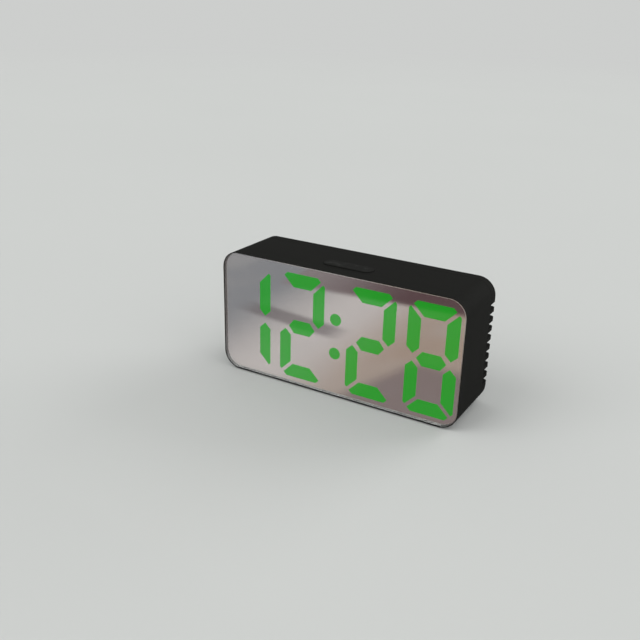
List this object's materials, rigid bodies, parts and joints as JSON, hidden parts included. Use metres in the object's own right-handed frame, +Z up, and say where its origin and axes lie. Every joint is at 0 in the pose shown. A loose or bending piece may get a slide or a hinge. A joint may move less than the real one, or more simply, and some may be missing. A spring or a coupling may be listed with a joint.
{
  "type": "led mirror clock",
  "caption": "Free-standing rectangular digital clock with a full-front half mirror over tall lit digits, a top snooze button, ribbed rear sides and a rear battery bay.",
  "frame": {"origin": "on the resting plane under the middle of the clock, where the pads under its base stand", "axes": "+X to the right as the display is read, +Y from the mirror to the rear, +Z up"},
  "size_m": [0.14, 0.04, 0.0692],
  "materials": {
    "mirror_acrylic": "clear cast acrylic with polished edges",
    "mirror_silver": "half-mirror film, neutral silver",
    "black_tape": "black adhesive tape",
    "black_plastic": "moulded plastic, fine satin texture",
    "white_plastic": "white reflector moulding",
    "lit_green": "lit milky window",
    "dark_window": "unlit milky window",
    "board_green": "glass-fibre board with solder mask",
    "led_cream": "surface-mounted diode",
    "chip_black": "moulded chip resin",
    "steel": "plated steel",
    "switch_black": "switch housing",
    "plunger_white": "switch plunger",
    "button_black": "moulded button, satin",
    "connector_cream": "nylon connector",
    "ribbon_grey": "flat ribbon cable",
    "cell_wrap": "plain printed sleeve",
    "contact_steel": "nickel-plated spring steel",
    "screw_steel": "blackened steel",
    "pad_rubber": "soft foam rubber"
  },
  "bodies": {
    "clock": {"mirror_panel": "mirror_acrylic", "mirror_film": "mirror_silver", "panel_tape": "black_tape", "front_shell": "black_plastic", "rear_cover": "black_plastic", "light_box": "white_plastic", "hour_tens_lit_segments": "lit_green", "hour_tens_dark_segments": "dark_window", "hour_units_lit_segments": "lit_green", "hour_units_dark_segments": "dark_window", "minute_tens_lit_segments": "lit_green", "minute_tens_dark_segments": "dark_window", "minute_units_lit_segments": "lit_green", "colon_dots": "lit_green", "main_board": "board_green", "segment_leds": "led_cream", "clock_chip": "chip_black", "watch_crystal": "steel", "snooze_switch": "switch_black", "key_board": "board_green", "set_switch": "switch_black", "alarm_switch": "switch_black", "up_switch": "switch_black", "down_switch": "switch_black", "buzzer": "chip_black", "power_inlet": "steel", "inlet_tongue": "chip_black", "board_connectors": "connector_cream", "ribbon_cable": "ribbon_grey", "upper_cell": "cell_wrap", "middle_cell": "cell_wrap", "lower_cell": "cell_wrap", "contact_plates": "contact_steel", "contact_springs": "contact_steel", "case_screws": "screw_steel", "board_screws": "screw_steel", "key_board_screws": "screw_steel", "base_pads": "pad_rubber"},
    "snooze_button": {"snooze_button": "button_black", "snooze_plunger": "plunger_white"},
    "set_key": {"set_key": "button_black", "set_plunger": "plunger_white"},
    "alarm_key": {"alarm_key": "button_black", "alarm_plunger": "plunger_white"},
    "up_key": {"up_key": "button_black", "up_plunger": "plunger_white"},
    "down_key": {"down_key": "button_black", "down_plunger": "plunger_white"},
    "battery_door": {"battery_door": "black_plastic"}
  },
  "joints": [
    {"name": "snooze_press", "type": "slide", "parent": "clock", "child": "snooze_button", "axis": [0, 0, -1], "range_m": [0, 0.0008], "stiffness_N_per_m": 900, "springref_m": -0.0006},
    {"name": "set_press", "type": "slide", "parent": "clock", "child": "set_key", "axis": [0, -1, 0], "range_m": [0, 0.0005], "stiffness_N_per_m": 900, "springref_m": -0.0005},
    {"name": "alarm_press", "type": "slide", "parent": "clock", "child": "alarm_key", "axis": [0, -1, 0], "range_m": [0, 0.0005], "stiffness_N_per_m": 900, "springref_m": -0.0005},
    {"name": "up_press", "type": "slide", "parent": "clock", "child": "up_key", "axis": [0, -1, 0], "range_m": [0, 0.0005], "stiffness_N_per_m": 900, "springref_m": -0.0005},
    {"name": "down_press", "type": "slide", "parent": "clock", "child": "down_key", "axis": [0, -1, 0], "range_m": [0, 0.0005], "stiffness_N_per_m": 900, "springref_m": -0.0005},
    {"name": "door_hinge", "type": "hinge", "parent": "clock", "child": "battery_door", "pos_m": [0, 0.02, 0.0115], "axis": [-1, 0, 0], "range_deg": [0, 75]}
  ]
}
